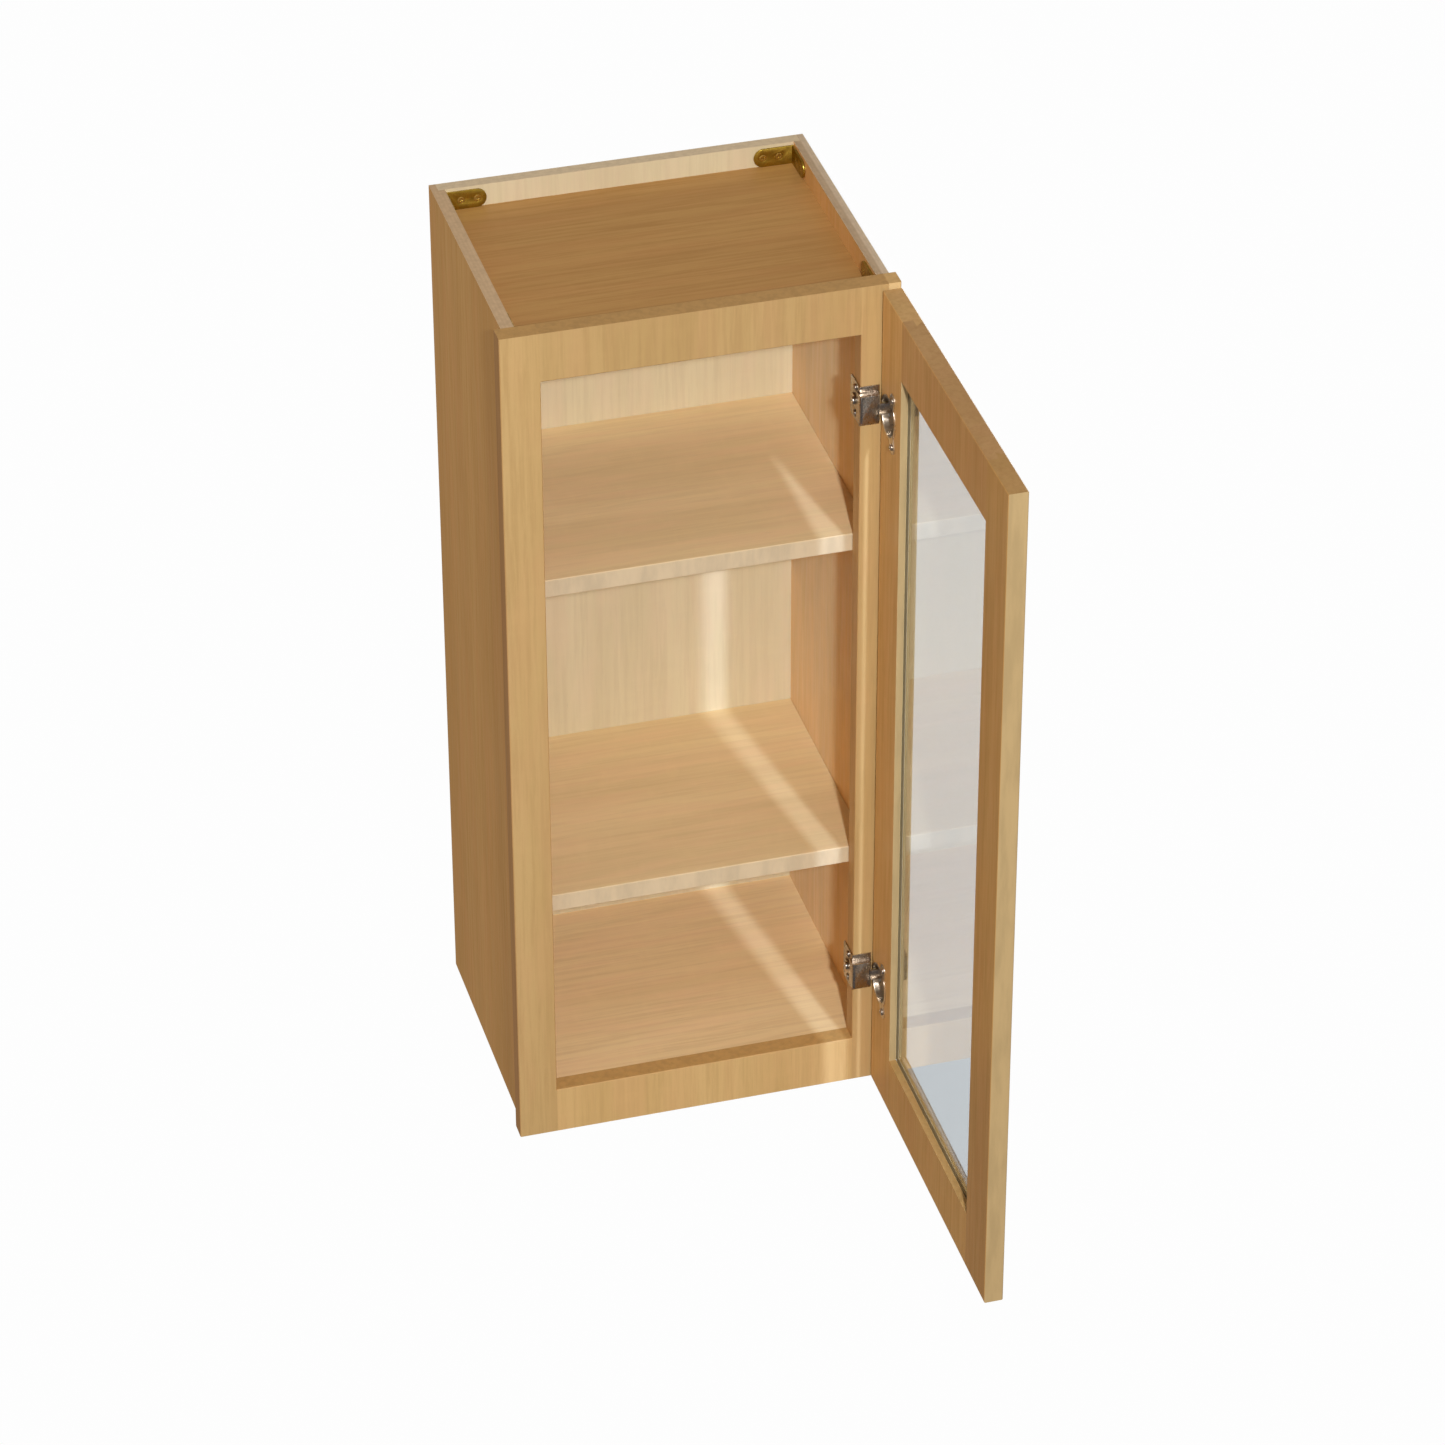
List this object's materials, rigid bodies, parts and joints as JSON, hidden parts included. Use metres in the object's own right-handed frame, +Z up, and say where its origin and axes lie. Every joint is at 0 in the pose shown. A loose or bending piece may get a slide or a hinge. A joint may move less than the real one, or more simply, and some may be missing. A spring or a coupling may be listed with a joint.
{
  "type": "hanging wall cabinet",
  "caption": "Framed wooden wall cabinet with one glass door on wrap-around cup hinges and adjustable shelves on pins.",
  "frame": {"origin": "on the wall plane, at the bottom edge of the box, midway across the face frame", "axes": "+X to the right seen from the front, +Y into the wall (the front faces -Y), +Z up"},
  "size_m": [0.3812, 0.6697, 0.9144],
  "materials": {
    "frame_maple": "satin clear lacquer over maple, grain upright",
    "door_maple": "satin clear lacquer over maple",
    "panel_plywood": "satin lacquered maple-veneer plywood",
    "shelf_plywood": "satin lacquered maple-veneer plywood with an edge band",
    "dowel_beech": "unfinished fluted beech",
    "pin_nickel": "nickel plate",
    "bracket_brass": "aged brass plate",
    "screw_brass": "brass plate",
    "hinge_nickel": "bright nickel plate",
    "pin_steel": "bright steel",
    "spring_steel": "oiled spring steel",
    "glass": "clear float glass",
    "seal_silicone": "translucent silicone bedding"
  },
  "bodies": {
    "cabinet": {"left_side_panel": "panel_plywood", "right_side_panel": "panel_plywood", "back_panel": "panel_plywood", "top_panel": "panel_plywood", "bottom_panel": "panel_plywood", "frame_left_stile": "frame_maple", "frame_right_stile": "frame_maple", "frame_top_rail": "frame_maple", "frame_bottom_rail": "frame_maple", "frame_dowels": "dowel_beech", "upper_shelf": "shelf_plywood", "lower_shelf": "shelf_plywood", "upper_shelf_pins": "pin_nickel", "lower_shelf_pins": "pin_nickel", "bracket_top_back_left": "bracket_brass", "bracket_top_back_right": "bracket_brass", "bracket_top_front_left": "bracket_brass", "bracket_top_front_right": "bracket_brass", "bracket_bottom_back_left": "bracket_brass", "bracket_bottom_back_right": "bracket_brass", "bracket_bottom_front_left": "bracket_brass", "bracket_bottom_front_right": "bracket_brass", "top_bracket_screws": "screw_brass", "bottom_bracket_screws": "screw_brass", "upper_hinge_base": "hinge_nickel", "lower_hinge_base": "hinge_nickel", "upper_hinge_arm": "hinge_nickel", "lower_hinge_arm": "hinge_nickel", "upper_hinge_frame_screws": "hinge_nickel", "lower_hinge_frame_screws": "hinge_nickel", "upper_hinge_cam": "hinge_nickel", "lower_hinge_cam": "hinge_nickel"},
    "door": {"door_hinge_stile": "door_maple", "door_free_stile": "door_maple", "door_top_rail": "door_maple", "door_bottom_rail": "door_maple", "door_glass": "glass", "glass_seal": "seal_silicone", "upper_hinge_cup": "hinge_nickel", "lower_hinge_cup": "hinge_nickel", "upper_hinge_cup_screws": "hinge_nickel", "lower_hinge_cup_screws": "hinge_nickel", "upper_hinge_pin": "pin_steel", "lower_hinge_pin": "pin_steel", "upper_hinge_spring": "spring_steel", "lower_hinge_spring": "spring_steel"}
  },
  "joints": [
    {"name": "door_swing", "type": "hinge", "parent": "cabinet", "child": "door", "pos_m": [0.17815, -0.30745, 0.4556], "axis": [0, 0, 1], "range_deg": [-90, 12]}
  ]
}
